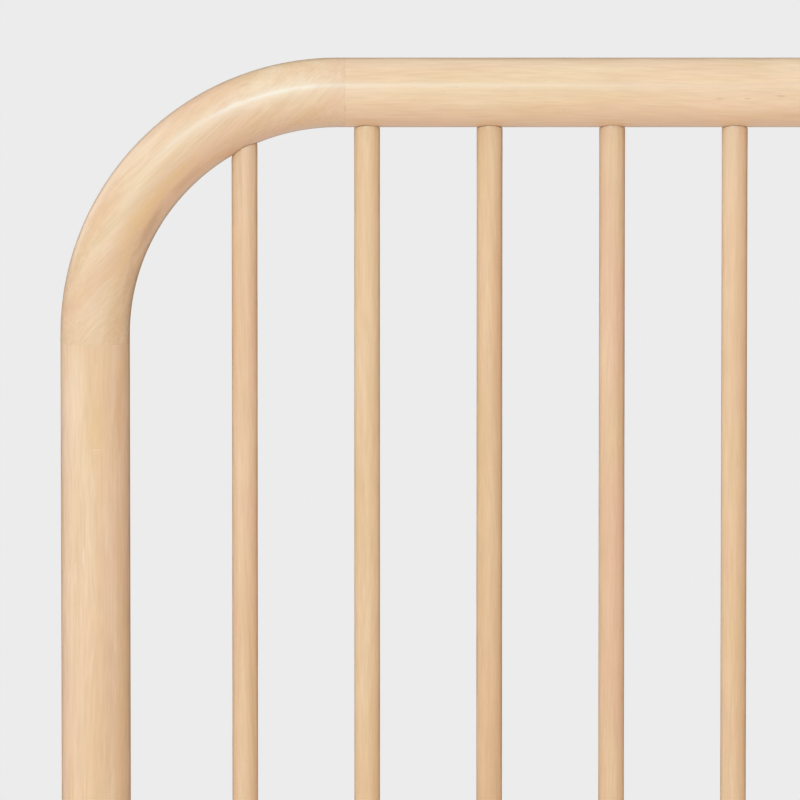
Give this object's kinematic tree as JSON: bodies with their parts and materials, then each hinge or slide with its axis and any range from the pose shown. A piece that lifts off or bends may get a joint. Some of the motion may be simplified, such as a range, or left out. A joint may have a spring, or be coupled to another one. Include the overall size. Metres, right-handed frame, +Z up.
{
  "type": "spindle bed",
  "caption": "Single bed with arched round-bar head and foot boards, straight round spindles, bolted side rails, a slatted base and an adjustable centre leg.",
  "frame": {"origin": "on the floor, at the middle of the bed's length and width", "axes": "+Z up, +Y along the bed from footboard to headboard, +X to the right of someone who stands at the foot and looks at the headboard"},
  "size_m": [1.081, 2.032, 1.067],
  "materials": {
    "arch_wood": "pale hardwood with straight grain under a clear satin lacquer",
    "corner_wood": "pale hardwood, its grain running straight across the bend, clear satin lacquer",
    "spindle_wood": "pale hardwood in slightly different tones, clear satin lacquer",
    "board_wood": "pale hardwood under a clear satin lacquer",
    "slat_wood": "planed, bare pale wood",
    "dowel_wood": "bare beech",
    "zinc_steel": "zinc-plated steel",
    "nylon": "natural nylon"
  },
  "bodies": {
    "bed_frame": {"headboard_left_post": "arch_wood", "headboard_left_corner": "corner_wood", "headboard_right_post": "arch_wood", "headboard_right_corner": "corner_wood", "headboard_top_rail": "arch_wood", "headboard_lower_rail": "arch_wood", "headboard_spindle_01": "spindle_wood", "headboard_spindle_02": "spindle_wood", "headboard_spindle_03": "spindle_wood", "headboard_spindle_04": "spindle_wood", "headboard_spindle_05": "spindle_wood", "headboard_spindle_06": "spindle_wood", "headboard_spindle_07": "spindle_wood", "headboard_spindle_08": "spindle_wood", "headboard_spindle_09": "spindle_wood", "headboard_spindle_10": "spindle_wood", "footboard_left_post": "arch_wood", "footboard_left_corner": "corner_wood", "footboard_right_post": "arch_wood", "footboard_right_corner": "corner_wood", "footboard_top_rail": "arch_wood", "footboard_lower_rail": "arch_wood", "footboard_spindle_01": "spindle_wood", "footboard_spindle_02": "spindle_wood", "footboard_spindle_03": "spindle_wood", "footboard_spindle_04": "spindle_wood", "footboard_spindle_05": "spindle_wood", "footboard_spindle_06": "spindle_wood", "footboard_spindle_07": "spindle_wood", "footboard_spindle_08": "spindle_wood", "footboard_spindle_09": "spindle_wood", "footboard_spindle_10": "spindle_wood", "left_side_rail": "board_wood", "left_slat_ledge": "slat_wood", "right_side_rail": "board_wood", "right_slat_ledge": "slat_wood", "slat_01": "slat_wood", "slat_02": "slat_wood", "slat_03": "slat_wood", "slat_04": "slat_wood", "slat_05": "slat_wood", "slat_06": "slat_wood", "slat_07": "slat_wood", "slat_08": "slat_wood", "slat_09": "slat_wood", "slat_10": "slat_wood", "slat_11": "slat_wood", "slat_12": "slat_wood", "centre_beam": "slat_wood", "support_leg": "board_wood", "leg_insert": "zinc_steel", "leg_cross_bolt": "zinc_steel", "frame_dowels": "dowel_wood", "side_rail_dowels": "dowel_wood", "side_rail_bolts": "zinc_steel", "barrel_nuts": "zinc_steel", "post_glides": "nylon", "wood_screws": "zinc_steel"},
    "foot_pad": {"leveller_pad": "nylon"},
    "foot_stem": {"leveller_stem": "zinc_steel"}
  },
  "joints": [
    {"name": "leveller_lift", "type": "slide", "parent": "bed_frame", "child": "foot_pad", "axis": [0, 0, 1], "range_m": [-0.01, 0.0075]},
    {"name": "leveller_turn", "type": "hinge", "parent": "foot_pad", "child": "foot_stem", "pos_m": [0, 0, 0.03], "axis": [0, 0, 1], "range_deg": [-2880, 2160]}
  ],
  "couplings": [
    {"joint": "leveller_lift", "follows": "leveller_turn", "m_per_rad": 0.00019894}
  ]
}
